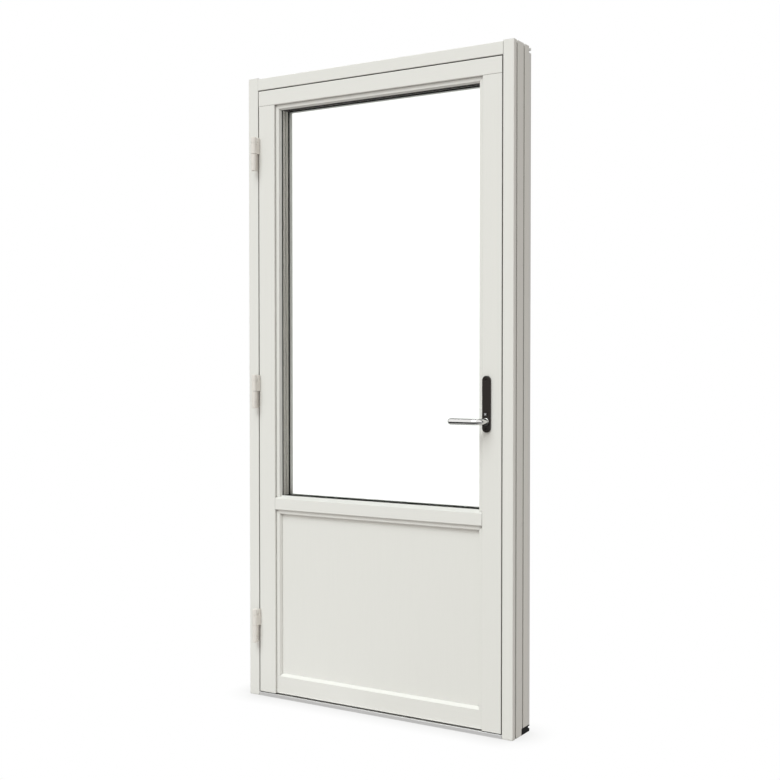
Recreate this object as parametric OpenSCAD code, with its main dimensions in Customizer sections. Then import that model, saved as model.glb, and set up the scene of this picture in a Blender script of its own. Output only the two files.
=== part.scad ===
// Inward-opening glazed balcony door in its frame: painted timber inside,
// aluminium outside. Closed, handle level (unlocked). Millimetres.
// X runs along the wall, hinges on the -X side. -Y is the room, +Y is outdoors.
// Z is up from the underside of the frame. Y = 0 is half way through the frame.

/* [Frame] */
// Width over the two jambs
frame_w = 990; // [790:10:1190]
// Height from the underside to the top of the jambs
frame_h = 2080; // [1780:10:2380]
// Depth of the timber of the frame
frame_wood_d = 104; // [100:1:125]
// Depth of the aluminium cladding behind the timber
frame_clad_d = 14; // [10:1:24]
// Visible face of the jamb that carries the hinges
jamb_face_hinge = 40; // [36:0.5:60]
// Visible face of the jamb that takes the bolts
jamb_face_lock = 36; // [32:0.5:60]
// Visible face of the head
head_face = 39.5; // [34:0.5:60]
// How far the head's top lies below the jambs' tops
head_drop = 3; // [0:0.5:6]
// How far the frame's stop stands out past the jamb's face
stop_w = 22; // [18:1:30]
// Rounding of the painted timber's edges
arris_r = 2.5; // [1:0.5:4]

/* [Sash] */
// Running gap between the sash and the frame, seen from the room
gap = 3; // [2.5:0.25:5]
// Visible face of each stile
stile_face = 65; // [62:1:90]
// Visible face of the top rail
top_rail_face = 51; // [45:1:90]
// Underside of the middle rail
mid_rail_z = 634.4; // [400:0.1:900]
// Height of the middle rail's flat face
mid_rail_face = 38; // [30:1:80]
// Height of the bottom rail's flat face
bottom_rail_face = 59; // [50:1:120]
// Depth of the sash's aluminium cladding
sash_clad_d = 16; // [12:1:20]
// Depth of the front of the sash edge that closes the gap
edge_lip_d = 40; // [34:1:42]
// How far the sash edge steps back behind that lip
edge_step = 9; // [9:0.5:11]
// How far the beads and the bottom rail lie behind the stiles' face
face_step = 8; // [3:0.5:10]

/* [Glazing] */
// Thickness of each pane
pane_t = 4; // [4:0.5:6]
// Gas space between panes
cavity_t = 12; // [10:0.5:16]
// Depth of the bead's front corner to the gasket
bead_d = 20; // [18:0.5:25]
// Thickness of the gaskets on both sides of the glass
gasket_t = 4; // [3:0.5:5]
// Width of the bead's flat face
bead_face = 13; // [10:0.5:20]
// Width over the bead's sloping side
bead_slope_w = 4; // [2:0.5:6]
// Play between the glass or panel and the timber around it
glass_play = 3; // [2:0.5:5]

/* [Threshold] */
// Height of the threshold's front
sill_h = 11.7; // [8:0.1:14]
// Height of the black core under the jambs' back
core_h = 20; // [15:1:24]
// Height of the upstand that the sash closes against
upstand_h = 36; // [32:1:45]

/* [Hinges] */
// Height of the middle of the lowest hinge
hinge_low = 240; // [200:1:400]
// Height of the middle of the middle hinge
hinge_mid = 1030; // [860:1:1200]
// Distance of the top hinge's middle below the top of the jambs
hinge_drop = 256; // [220:1:400]
// Outer radius of the barrel
barrel_r = 9; // [7:0.5:9.5]
// Distance of the hinge axis in front of the frame's face
hinge_out = 20; // [16:0.5:24]
// Distance of the hinge axis from the frame's outer side
hinge_in = 38; // [34:0.5:39]
// Length of each knuckle
knuckle_h = 35; // [26:1:50]
// Length of each end cap
hinge_cap_h = 22; // [12:1:30]
// Radius of the hinge pin
pin_r = 4; // [3:0.5:5]

/* [Handle] */
// Height of the lever's axis
lever_z = 950; // [900:1:1100]
// Distance of the lever's axis from the sash's lock edge
lever_in = 48; // [44:1:52]
// Length of the lever from its axis to its tip
lever_l = 105; // [90:1:130]
// Distance of the grip's axis from the stile's face
lever_out = 51; // [44:1:70]
// Radius of the lever's round bar
lever_r = 9.5; // [7:0.5:10]
// Length of the handle plate
plate_h = 170; // [150:1:220]
// Width of the handle plate
plate_w = 27; // [26:0.5:32]
// Thickness of the handle plate
plate_t = 8; // [6:0.5:12]
// Height of the plate's middle above the lever's axis
plate_up = 52; // [40:1:56]

/* [Lock] */
// Distance of the outermost bolts from the sash's ends
bolt_end = 235; // [200:1:300]
// Distance of the inner lower bolt below the lever's axis
bolt_below = 150; // [130:1:300]
// Distance of the inner upper bolt above the lever's axis
bolt_above = 330; // [130:1:400]
// Width of the lock's faceplate
face_w = 16; // [14:1:17]
// Thickness of the faceplate and of the strike plates
face_t = 3; // [2:0.5:3]
// Travel of each rod between unlocked and locked
rod_travel = 18; // [14:1:20]
// Radius of the bolts on the rods
bolt_r = 3; // [2:0.5:3.5]

/* [Fixings] */
// Height of the lowest hole through each jamb
fixing_low = 170; // [120:1:190]
// Distance of the highest hole below the top of the jambs
fixing_drop = 190; // [120:1:200]
// Distance between the two holes of each pair
fixing_pitch = 470; // [380:1:500]
// Radius of the holes
fixing_r = 5; // [3:0.5:6]

/* [Hidden] */
$fn = 48;
eps = 0.01;

// The sash's timber is as deep as its beads, gaskets and glass together
unit_t = 3 * pane_t + 2 * cavity_t;
sash_wood_d = bead_d + 2 * gasket_t + unit_t;

// Places across the wall
frame_d = frame_wood_d + frame_clad_d;
front = -frame_d / 2;
back = frame_d / 2;
x_hinge = -frame_w / 2;
x_lock = frame_w / 2;
jamb_in_l = x_hinge + jamb_face_hinge;
jamb_in_r = x_lock - jamb_face_lock;
stop_in_l = jamb_in_l + stop_w;
stop_in_r = jamb_in_r - stop_w;
head_top = frame_h - head_drop;
head_z = head_top - head_face;
stop_z = head_z - stop_w;

// Grooves down the jambs' outer sides, and the threshold
groove_depths = [22, 71];
groove_w = 8;
groove_d = 5;
core_y = front + 62;
nose_d = 9;
nose_z = [9, 16];
sill_t = 2;
sill_riser = 4;

// The cladding's sheet, and the gap between its jambs and its head
clad_wall = 2;
clad_gap = 8;
clad_top = frame_h - 20;
clad_head_z = clad_top + clad_gap;

// The sash's outline
sash_l = jamb_in_l + gap;
sash_r = jamb_in_r - gap;
sash_bottom = sill_h + gap;
sash_top = head_z - gap;
sash_d = sash_wood_d + sash_clad_d;
seal_room = 4;
seal_nip = 0.3;
seal_w = 8;
seal_inset = 2;
stop_y = front + sash_d + seal_room;
wood_back = front + frame_wood_d;
lip_y = front + edge_lip_d;
sash_wood_y = front + sash_wood_d;
sash_back = front + sash_d;
back_l = sash_l + edge_step;
back_r = sash_r - edge_step;
back_bottom = sash_bottom + edge_step;
back_top = sash_top - edge_step;

// The openings between stiles and rails, and the sight lines inside the beads
open_l = sash_l + stile_face;
open_r = sash_r - stile_face;
open_top = sash_top - top_rail_face;
mid_top = mid_rail_z + mid_rail_face;
bead_w = bead_face + bead_slope_w;
sight_l = open_l + bead_w;
sight_r = open_r - bead_w;
sight_top = open_top - bead_w;
rail_ease = 1;
mid_chamfer_h = 9.6;
bottom_chamfer_h = 8;
mid_sight = mid_top + mid_chamfer_h;
bottom_top = sash_bottom + bottom_rail_face;
bottom_sight = bottom_top + bottom_chamfer_h;
panel_sight = mid_rail_z - bead_w;

// Depths in the glazing
bead_y = front + face_step;
rest_y = front + bead_d;
glass_y = rest_y + gasket_t;
glass_back = glass_y + unit_t;
glass_l = open_l + glass_play;
glass_r = open_r - glass_play;
glass_top = open_top - glass_play;
glass_cover = 14;
glass_bottom = mid_sight - glass_cover;
rebate_mid = glass_bottom - glass_play;
panel_bottom = bottom_sight - glass_cover;
rebate_bottom = panel_bottom - glass_play;
panel_top = mid_rail_z - glass_play;
spacer_w = 9;
gasket_w = 8;
block_l = 80;
block_in = 90;
block_inset = 2;

// Tenons of the middle and bottom rails
tenon_t = 14;
tenon_l = 25;
tenon_y = front + 24;
tenon_play = 0.1;
tenon_zones = [[back_bottom + 8, rebate_bottom - 4], [mid_rail_z + 4, rebate_mid - 4]];

// Hinges
axis_x = x_hinge + hinge_in;
axis_y = front - hinge_out;
hinge_z = [hinge_low, hinge_mid, frame_h - hinge_drop];
strap_t = 3.2;
strap_back = front + 34;
strap_h = knuckle_h + 20;
strap_front = axis_y + barrel_r + 0.3;
knuckle_gap = 0.4;
pin_play = 0.05;
strap_play = 0.2;
pin_end = 6;
hinge_screw_r = 2;
hinge_screw_l = 24;
hinge_screw_y = front + 22;
hinge_screw_z = [8, knuckle_h - 8];
hinge_screw_bore = 0.1;
screw_play = 0.05;
mortise_play = 0.3;

// Handle and lock
lever_x = sash_r - lever_in;
plate_z = lever_z + plate_up;
plate_rim = 1.5;
plate_face_y = front - plate_t;
handle_screw_z = [plate_z + plate_h / 2 - 11, plate_z - plate_h / 2 + 11];
handle_screw_r = 2.5;
handle_head_r = 4.5;
handle_head_y = plate_face_y + 3;
button_z = lever_z + 22;
button_r = 5;
button_out = 3.5;
button_room = 3.2;
elbow_r = 24;
collar_r = 10.5;
turn_play = 0.3;
spindle_w = 7;
hub_r = 9;
hub_play = 0.1;
spindle_play = 0.05;
spindle_out = 6;
lock_y = (lip_y + sash_wood_y) / 2;
case_t = 15;
case_h = 150;
case_x = lever_x - 18;
channel_d = 8;
channel_x = back_r - face_t - channel_d;
channel_w = 10;
rod_w = 8.6;
rod_t = 7.4;
rod_x = back_r - face_t - rod_t - 0.4;
rod_top = back_top - 40;
rod_bottom = back_bottom + 40;
rod_split = case_h / 2 + 24;
rod_stop = 30;
bolt_out = 8;
bolt_head_r = bolt_r + 1.2;
bolt_head_l = 2.5;
bolt_z = [sash_bottom + bolt_end, lever_z - bolt_below, lever_z + bolt_above, sash_top - bolt_end];
keeper_h = 20;
keeper_out = 7;
strike_w = 20;
strike_h = 90;
strike_play = 0.1;
strike_hole = strike_h / 2 - 7;
strike_screw_r = 2;
strike_screw_l = 24;
fixing_y = front + 57;
fixing_top = frame_h - fixing_drop;
fixing_z = [fixing_low, fixing_low + fixing_pitch, fixing_top - fixing_pitch, fixing_top];

paint = "whitesmoke";
alloy = "gainsboro";
bronze = [0.2, 0.17, 0.16];

// Extrudes a section drawn in (Y, Z) from x0 to x1
module along_x(x0, x1) {
    translate([x0, 0, 0]) rotate([90, 0, 90]) linear_extrude(x1 - x0) children();
}

// Extrudes an outline drawn in (X, Z) from y0 back to y1
module through(y0, y1) {
    translate([0, y1, 0]) rotate([90, 0, 0]) linear_extrude(y1 - y0) children();
}

// Extrudes a section drawn in (X, Y) from z0 up to z1
module upright(z0, z1) {
    translate([0, 0, z0]) linear_extrude(z1 - z0) children();
}

// A box between two corners
module block(low, high) {
    translate(low) cube(high - low);
}

// A rectangle between two corners, with its front pair of corners rounded
module eased(x0, y0, x1, y1, r = arris_r) {
    translate([x0, y0 + r]) square([x1 - x0, y1 - y0 - r]);
    translate([x0 + r, y0]) square([x1 - x0 - 2 * r, r + eps]);
    for (x = [x0 + r, x1 - r]) translate([x, y0 + r]) circle(r);
}

// The same with the rounded pair at the low first coordinate
module eased_side(x0, y0, x1, y1, r = arris_r) {
    translate([x0 + r, y0]) square([x1 - x0 - r, y1 - y0]);
    translate([x0, y0 + r]) square([r + eps, y1 - y0 - 2 * r]);
    for (y = [y0 + r, y1 - r]) translate([x0 + r, y]) circle(r);
}

module bar_in_x(x0, x1, y, z, r) {
    translate([x0, y, z]) rotate([0, 90, 0]) cylinder(r = r, h = x1 - x0);
}

module bar_in_y(x, y0, y1, z, r) {
    translate([x, y1, z]) rotate([90, 0, 0]) cylinder(r = r, h = y1 - y0);
}

// ---- Frame ----

module side_grooves(x0, x1) {
    for (d = groove_depths)
        block([x0, front + d - groove_w / 2, -1], [x1, front + d + groove_w / 2, frame_h + 1]);
}

module fixing_holes(x0, x1) {
    for (z = fixing_z) bar_in_x(x0, x1, fixing_y, z, fixing_r);
}

module threshold_notch() {
    block([x_hinge - 1, core_y, -1], [x_lock + 1, back + 1, core_h]);
}

module jamb_hinge_side() color(paint) difference() {
    upright(0, frame_h) eased(x_hinge, front, jamb_in_l, wood_back);
    side_grooves(x_hinge - 1, x_hinge + groove_d);
    threshold_notch();
    fixing_holes(x_hinge - 1, jamb_in_l + 1);
    for (z = hinge_z) frame_strap(z, strap_play);
    for (z = hinge_z) frame_leaf_screws(z, screw_play);
}

module jamb_lock_side() color(paint) difference() {
    upright(0, frame_h) eased(jamb_in_r, front, x_lock, wood_back);
    side_grooves(x_lock - groove_d, x_lock + 1);
    threshold_notch();
    fixing_holes(jamb_in_r - 1, x_lock + 1);
    for (z = bolt_z) strike_outline(z, strike_play);
    for (z = bolt_z) strike_fixings(z, screw_play);
}

module frame_head() color(paint)
    along_x(jamb_in_l, jamb_in_r) eased_side(front, head_z, wood_back, head_top);

// Planted stops that the closed sash's seal meets
module stop_hinge_side() color(paint)
    block([jamb_in_l, stop_y, upstand_h], [stop_in_l, wood_back, head_z]);

module stop_lock_side() color(paint)
    block([stop_in_r, stop_y, upstand_h], [jamb_in_r, wood_back, head_z]);

module stop_head() color(paint)
    block([stop_in_l, stop_y, stop_z], [stop_in_r, wood_back, head_z]);

// A front strip, a riser, a ledge over the black core and an upstand under the seal
module threshold_sill() color("silver") {
    ledge_z = core_h + sill_t;
    block([jamb_in_l, front, 0], [jamb_in_r, core_y, sill_h]);
    block([jamb_in_l, core_y - sill_riser, sill_h - eps], [jamb_in_r, core_y, ledge_z]);
    block([jamb_in_l, core_y - eps, core_h], [jamb_in_r, wood_back, ledge_z]);
    block([jamb_in_l, stop_y, ledge_z - eps], [jamb_in_r, wood_back, upstand_h]);
}

// Black core with a grooved nose at the back, running under both jambs
module threshold_core() color("black") difference() {
    block([x_hinge, core_y, 0], [x_lock, back, core_h]);
    block([x_hinge - 1, back - nose_d, nose_z[0]], [x_lock + 1, back + 1, nose_z[1]]);
}

// Channel section: a face with two returns towards the timber
module channel(a0, a1, b0, b1) {
    difference() {
        translate([a0, b0]) square([a1 - a0, b1 - b0]);
        translate([a0 + clad_wall, b0 - 1]) square([a1 - a0 - 2 * clad_wall, b1 - b0 - clad_wall + 1]);
    }
}

module frame_cladding_hinge_side() color(alloy)
    upright(core_h, clad_top) channel(x_hinge, stop_in_l + clad_wall, wood_back, back);

module frame_cladding_lock_side() color(alloy)
    upright(core_h, clad_top) channel(stop_in_r - clad_wall, x_lock, wood_back, back);

// A full-width face with its returns, and a narrower apron down to the stop
module frame_cladding_head() color(alloy) {
    apron_l = stop_in_l + clad_wall;
    apron_r = stop_in_r - clad_wall;
    apron_z = stop_z - clad_wall;
    block([x_hinge, wood_back, clad_head_z], [x_lock, back, clad_head_z + clad_wall]);
    block([x_hinge, back - clad_wall, clad_head_z], [x_lock, back, head_top]);
    block([apron_l, back - clad_wall, apron_z], [apron_r, back, clad_head_z + eps]);
    block([apron_l, wood_back, apron_z], [apron_r, back, stop_z]);
}

// Ring on the faces of the stops and the upstand, set back from their inner edges
module frame_seal() color("dimgray") through(sash_back + seal_nip, stop_y) difference() {
    translate([stop_in_l - seal_w, upstand_h - seal_w])
        square([stop_in_r - stop_in_l + 2 * seal_w, stop_z - upstand_h + 2 * seal_w]);
    translate([stop_in_l - seal_inset, upstand_h - seal_inset])
        square([stop_in_r - stop_in_l + 2 * seal_inset, stop_z - upstand_h + 2 * seal_inset]);
}

// ---- Sash timber ----

// Outline of a stile: a full-width front and a stepped-back rear, open on the glass side
module stile_section(lip_x, back_x, inner_x) {
    low = min(lip_x, inner_x);
    high = max(lip_x, inner_x);
    eased(low, front, high, lip_y);
    translate([min(back_x, inner_x), lip_y - eps])
        square([abs(inner_x - back_x), sash_wood_y - lip_y + eps]);
}

module stile_hinge_side() color(paint) difference() {
    upright(sash_bottom, open_top) stile_section(sash_l, back_l, open_l);
    block([sash_l - 1, lip_y, 0], [open_l + 1, back, back_bottom]);
    for (z = hinge_z) sash_strap(z, strap_play);
    for (z = hinge_z) sash_leaf_screws(z, screw_play);
    tenon_slots();
}

module stile_lock_side() color(paint) difference() {
    upright(sash_bottom, open_top) stile_section(sash_r, back_r, open_r);
    block([open_r - 1, lip_y, 0], [sash_r + 1, back, back_bottom]);
    lock_mortise(mortise_play);
    handle_fixing_holes(screw_play);
    tenon_slots();
}

// Mortises in both stiles for the tenons of the middle and bottom rails
module tenon_slots() {
    reach = tenon_l + 1;
    for (z = tenon_zones)
        block([open_l - reach, tenon_y - tenon_play, z[0] - tenon_play],
              [open_r + reach, tenon_y + tenon_t + tenon_play, z[1] + tenon_play]);
}

module tenons(zone) {
    block([open_l - tenon_l, tenon_y, zone[0]], [open_r + tenon_l, tenon_y + tenon_t, zone[1]]);
}

module top_rail() color(paint) difference() {
    union() {
        along_x(sash_l, sash_r) eased_side(front, open_top, lip_y, sash_top);
        along_x(back_l, back_r) translate([lip_y - eps, open_top])
            square([sash_wood_y - lip_y + eps, back_top - open_top]);
    }
    lock_mortise(mortise_play);
}

module mid_rail() color(paint) {
    along_x(open_l, open_r) polygon([
        [front + rail_ease, mid_rail_z], [front, mid_rail_z + rail_ease],
        [front, mid_top], [rest_y, mid_sight], [rest_y, rebate_mid], [sash_wood_y, rebate_mid], [sash_wood_y, mid_rail_z]]);
    tenons(tenon_zones[1]);
}

module bottom_rail() color(paint) {
    along_x(open_l, open_r) polygon([
        [bead_y + rail_ease, sash_bottom], [bead_y, sash_bottom + rail_ease],
        [bead_y, bottom_top], [rest_y, bottom_sight],
        [rest_y, rebate_bottom], [sash_wood_y, rebate_bottom], [sash_wood_y, back_bottom],
        [lip_y, back_bottom], [lip_y, sash_bottom]]);
    tenons(tenon_zones[0]);
}

// ---- Glazing ----

module pane(y0) {
    block([glass_l, y0, glass_bottom], [glass_r, y0 + pane_t, glass_top]);
}

module glass_inner() color("lightcyan", 0.35) pane(glass_y);
module glass_middle() color("lightcyan", 0.35) pane(glass_y + pane_t + cavity_t);
module glass_outer() color("lightcyan", 0.35) pane(glass_y + 2 * (pane_t + cavity_t));

// A flat ring whose inner edge lies on the sight line
module sight_ring(width) {
    difference() {
        translate([sight_l - width, mid_sight - width])
            square([sight_r - sight_l + 2 * width, sight_top - mid_sight + 2 * width]);
        translate([sight_l, mid_sight]) square([sight_r - sight_l, sight_top - mid_sight]);
    }
}

module spacer(y0) {
    through(y0, y0 + cavity_t) sight_ring(spacer_w);
}

module spacer_inner() color("gray") spacer(glass_y + pane_t);
module spacer_outer() color("gray") spacer(glass_y + 2 * pane_t + cavity_t);
module glazing_gasket_inner() color("black") through(rest_y, glass_y) sight_ring(gasket_w);
module glazing_gasket_outer() color("black")
    through(glass_back, glass_back + gasket_t) sight_ring(gasket_w);

module setting_blocks() color("dimgray") for (x = [glass_l + block_in, glass_r - block_in - block_l])
    block([x, glass_y + block_inset, rebate_mid], [x + block_l, glass_back - block_inset, glass_bottom]);

// Bead section across its width (first) and depth (second), foot against the timber
module bead_section() {
    polygon([[0, bead_y], [bead_face, bead_y], [bead_w, rest_y], [0, rest_y]]);
}

// A bead down one side of an opening from z1 to z0, mitred at its top
module side_bead(z0, z1, left) {
    foot_x = left ? open_l : open_r;
    sight_x = left ? sight_l : sight_r;
    intersection() {
        upright(z0, z1) translate([foot_x, 0]) mirror([left ? 0 : 1, 0]) bead_section();
        through(front, back)
            polygon([[foot_x, z0], [sight_x, z0], [sight_x, z1 - bead_w], [foot_x, z1]]);
    }
}

// The bead under an opening's top edge, mitred at both ends
module top_bead(z1) {
    intersection() {
        along_x(open_l, open_r)
            polygon([[bead_y, z1], [bead_y, z1 - bead_face], [rest_y, z1 - bead_w], [rest_y, z1]]);
        through(front, back)
            polygon([[open_l, z1], [open_r, z1], [sight_r, z1 - bead_w], [sight_l, z1 - bead_w]]);
    }
}

// Everything below a rail's chamfer, which the side beads are scribed over
module cope(y, flat_z, sight_z) {
    slope = (sight_z - flat_z) / (rest_y - y);
    along_x(open_l - 1, open_r + 1)
        polygon([[y - 1, 0], [y - 1, flat_z - slope], [rest_y + 1, sight_z + slope], [rest_y + 1, 0]]);
}

module glazing_bead(left) difference() {
    side_bead(mid_top, open_top, left);
    cope(front, mid_top, mid_sight);
}

module panel_bead(left) difference() {
    side_bead(bottom_top, mid_rail_z, left);
    cope(bead_y, bottom_top, bottom_sight);
}

module glazing_bead_left() color(paint) glazing_bead(true);
module glazing_bead_right() color(paint) glazing_bead(false);
module glazing_bead_top() color(paint) top_bead(open_top);
module panel_bead_left() color(paint) panel_bead(true);
module panel_bead_right() color(paint) panel_bead(false);
module panel_bead_top() color(paint) top_bead(mid_rail_z);

module lower_panel() color(paint)
    block([glass_l, rest_y, panel_bottom], [glass_r, sash_wood_y, panel_top]);

// ---- Sash cladding ----

module sash_cladding_hinge_side() color(alloy)
    upright(back_bottom, back_top) channel(back_l, sight_l, sash_wood_y, sash_back);

module sash_cladding_lock_side() color(alloy)
    upright(back_bottom, back_top) channel(sight_r, back_r, sash_wood_y, sash_back);

// A channel laid level between the two upright ones
module level_channel(z0, z1) {
    along_x(sight_l, sight_r) difference() {
        translate([sash_wood_y, z0]) square([sash_clad_d, z1 - z0]);
        translate([sash_wood_y - 1, z0 + clad_wall])
            square([sash_clad_d - clad_wall + 1, z1 - z0 - 2 * clad_wall]);
    }
}

module sash_cladding_top() color(alloy) level_channel(sight_top, back_top);
module sash_cladding_mid() color(alloy) level_channel(panel_sight, mid_sight);
module sash_cladding_bottom() color(alloy) level_channel(back_bottom, bottom_sight);

// ---- Hinges ----

// Strap of the frame's leaf: from the knuckle back along the jamb's inner edge, and on past the cap
module frame_strap(z, play = 0) {
    x0 = jamb_in_l - strap_t - play;
    x1 = jamb_in_l + (play > 0 ? 1 : 0);
    block([x0, axis_y, z - knuckle_h - play], [x1, strap_back + play, z - knuckle_gap + play]);
    block([x0, strap_front, z - strap_h - play], [x1, strap_back + play, z - knuckle_h + eps]);
}

// Strap of the sash's leaf: tangent to the knuckle, let into the sash's edge, and on past the cap
module sash_strap(z, play = 0) {
    x1 = axis_x + barrel_r + play;
    x0 = play > 0 ? sash_l - 1 : x1 - strap_t;
    block([x0, axis_y, z + knuckle_gap - play], [x1, strap_back + play, z + knuckle_h + play]);
    block([x0, strap_front, z + knuckle_h - eps], [x1, strap_back + play, z + strap_h + play]);
}

module hinge_frame_leaf(z) color("ivory") difference() {
    union() {
        translate([axis_x, axis_y, z - knuckle_h]) cylinder(r = barrel_r, h = knuckle_h - knuckle_gap);
        frame_strap(z);
    }
    translate([axis_x, axis_y, z - knuckle_h - 1]) cylinder(r = pin_r + pin_play, h = knuckle_h + 2);
    frame_leaf_screws(z, hinge_screw_bore);
}

module hinge_sash_leaf(z) color("ivory") difference() {
    union() {
        translate([axis_x, axis_y, z + knuckle_gap]) cylinder(r = barrel_r, h = knuckle_h - knuckle_gap);
        sash_strap(z);
    }
    translate([axis_x, axis_y, z - 1]) cylinder(r = pin_r + pin_play, h = knuckle_h + 2);
    sash_leaf_screws(z, hinge_screw_bore);
}

module frame_leaf_screws(z, play = 0) {
    for (dz = hinge_screw_z)
        bar_in_x(jamb_in_l - hinge_screw_l, jamb_in_l, hinge_screw_y, z - dz, hinge_screw_r + play);
}

module sash_leaf_screws(z, play = 0) {
    head_x = axis_x + barrel_r - strap_t;
    for (dz = hinge_screw_z)
        bar_in_x(head_x, head_x + hinge_screw_l, hinge_screw_y, z + dz, hinge_screw_r + play);
}

module hinge_pins() color("silver") for (z = hinge_z)
    translate([axis_x, axis_y, z - knuckle_h - pin_end]) cylinder(r = pin_r, h = 2 * (knuckle_h + pin_end));

// End cap: a short drum with an eased rim, bored for the pin's end
module hinge_cap(direction) {
    rim = 2;
    mirror([0, 0, direction < 0 ? 1 : 0]) difference() {
        rotate_extrude() union() {
            square([barrel_r, hinge_cap_h - rim]);
            square([barrel_r - rim, hinge_cap_h]);
            translate([barrel_r - rim, hinge_cap_h - rim]) circle(rim);
        }
        translate([0, 0, -1]) cylinder(r = pin_r + pin_play, h = pin_end + 2);
    }
}

module hinge_lower_caps() color("ivory") for (z = hinge_z)
    translate([axis_x, axis_y, z - knuckle_h]) hinge_cap(-1);

module hinge_upper_caps() color("ivory") for (z = hinge_z)
    translate([axis_x, axis_y, z + knuckle_h]) hinge_cap(1);

module hinge_frame_screws() color("silver") for (z = hinge_z) frame_leaf_screws(z);
module hinge_sash_screws() color("silver") for (z = hinge_z) sash_leaf_screws(z);

// ---- Lock ----

// The faceplate's place in the stile's edge, or the groove for it when play is given
module faceplate_block(play = 0) {
    block([back_r - face_t, lock_y - face_w / 2, rod_bottom - rod_stop],
          [back_r + play, lock_y + face_w / 2, rod_top + rod_stop]);
}

// Everything cut out of the stile and the top rail for the lock
module lock_mortise(play) {
    half_h = case_h / 2 + play;
    half_t = case_t / 2 + play;
    faceplate_block(1);
    block([channel_x, lock_y - channel_w / 2, rod_bottom - rod_stop],
          [back_r, lock_y + channel_w / 2, rod_top + rod_stop]);
    block([case_x - play, lock_y - half_t, lever_z - half_h],
          [channel_x + 1, lock_y + half_t, lever_z + half_h]);
    bar_in_y(lever_x, front - 1, lock_y, lever_z, hub_r + 1);
}

// Slot that a rod's bolt slides in, long enough for its travel both ways
module bolt_slot(z) {
    half = rod_travel + 1;
    r = bolt_r + 0.4;
    x0 = back_r - face_t - 1;
    x1 = back_r + 1;
    block([x0, lock_y - r, z - half], [x1, lock_y + r, z + half]);
    for (end_z = [z - half, z + half]) bar_in_x(x0, x1, lock_y, end_z, r);
}

module lock_faceplate() color("silver") difference() {
    faceplate_block();
    for (z = bolt_z) bolt_slot(z);
}

module gearbox_case() color("gray") difference() {
    block([case_x, lock_y - case_t / 2, lever_z - case_h / 2],
          [channel_x, lock_y + case_t / 2, lever_z + case_h / 2]);
    bar_in_y(lever_x, lock_y - case_t, lock_y + case_t, lever_z, hub_r + hub_play);
}

module gearbox_hub() color("silver") difference() {
    bar_in_y(lever_x, lock_y - case_t / 2, lock_y + case_t / 2, lever_z, hub_r);
    spindle_square(lock_y - case_t, lock_y + case_t, spindle_play);
}

module spindle_square(y0, y1, play = 0) {
    half = spindle_w / 2 + play;
    block([lever_x - half, y0, lever_z - half], [lever_x + half, y1, lever_z + half]);
}

module handle_spindle() color("silver")
    spindle_square(plate_face_y - spindle_out, lock_y + case_t / 2);

module rod_bar(z0, z1) {
    block([rod_x, lock_y - rod_w / 2, z0], [rod_x + rod_t, lock_y + rod_w / 2, z1]);
}

// A mushroom-headed bolt that stands out of the faceplate
module rod_bolt(z) {
    end_x = back_r + bolt_out;
    bar_in_x(rod_x, end_x - bolt_head_l + eps, lock_y, z, bolt_r);
    bar_in_x(end_x - bolt_head_l, end_x, lock_y, z, bolt_head_r);
}

module upper_rod() color("silver") {
    rod_bar(lever_z + rod_split, rod_top);
    for (z = bolt_z) if (z > lever_z) rod_bolt(z);
}

module lower_rod() color("silver") {
    rod_bar(rod_bottom, lever_z - rod_split);
    for (z = bolt_z) if (z < lever_z) rod_bolt(z);
}

// Strike plate let into the jamb's inner face
module strike_outline(z, play = 0) {
    half_w = strike_w / 2 + play;
    half_h = strike_h / 2 + play;
    block([jamb_in_r - (play > 0 ? 1 : 0), lock_y - half_w, z - half_h],
          [jamb_in_r + face_t + play, lock_y + half_w, z + half_h]);
}

// Lip on the strike that a locked bolt lies behind: bolts run apart when they lock
module keeper(z) {
    mid = z + (z > lever_z ? 1 : -1) * (rod_travel + 4);
    y1 = lock_y - bolt_head_r - 1.8;
    block([jamb_in_r - keeper_out, lock_y - strike_w / 2, mid - keeper_h / 2],
          [jamb_in_r + eps, y1, mid + keeper_h / 2]);
}

module strike_fixings(z, play = 0) {
    for (s = [-1, 1])
        bar_in_x(jamb_in_r + 0.2, jamb_in_r + strike_screw_l + play, lock_y, z + s * strike_hole,
                 strike_screw_r + play);
}

module strike_plates() color("silver") for (z = bolt_z) difference() {
    union() {
        strike_outline(z);
        keeper(z);
    }
    for (s = [-1, 1])
        bar_in_x(jamb_in_r - 1, jamb_in_r + face_t + 1, lock_y, z + s * strike_hole,
                 strike_screw_r + hinge_screw_bore);
}

module strike_screws() color("silver") for (z = bolt_z) strike_fixings(z);

// ---- Handle ----

// Outline with round ends, brought in all round by inset
module plate_outline(inset = 0) {
    r = plate_w / 2 - inset;
    straight = plate_h - plate_w;
    translate([lever_x - r, plate_z - straight / 2]) square([2 * r, straight]);
    for (s = [-1, 1]) translate([lever_x, plate_z + s * straight / 2]) circle(r, $fn = 64);
}

module handle_fixing_holes(play) {
    for (z = handle_screw_z)
        bar_in_y(lever_x, plate_face_y, lock_y - case_t / 2 - 1, z, handle_screw_r + play);
}

module handle_plate() color(bronze) difference() {
    union() {
        through(plate_face_y + plate_rim, front) plate_outline();
        through(plate_face_y, plate_face_y + plate_rim + eps) plate_outline(1);
    }
    bar_in_y(lever_x, plate_face_y - 1, front + 1, lever_z, collar_r + turn_play);
    bar_in_y(lever_x, plate_face_y - 1, front + 1, button_z, button_r + turn_play);
    handle_fixing_holes(screw_play);
    for (z = handle_screw_z)
        bar_in_y(lever_x, plate_face_y - 1, handle_head_y, z, handle_head_r + turn_play);
}

module handle_screws() color(bronze) for (z = handle_screw_z) {
    bar_in_y(lever_x, handle_head_y - eps, lock_y - case_t / 2 - 2, z, handle_screw_r);
    bar_in_y(lever_x, plate_face_y + 0.4, handle_head_y, z, handle_head_r);
}

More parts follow.
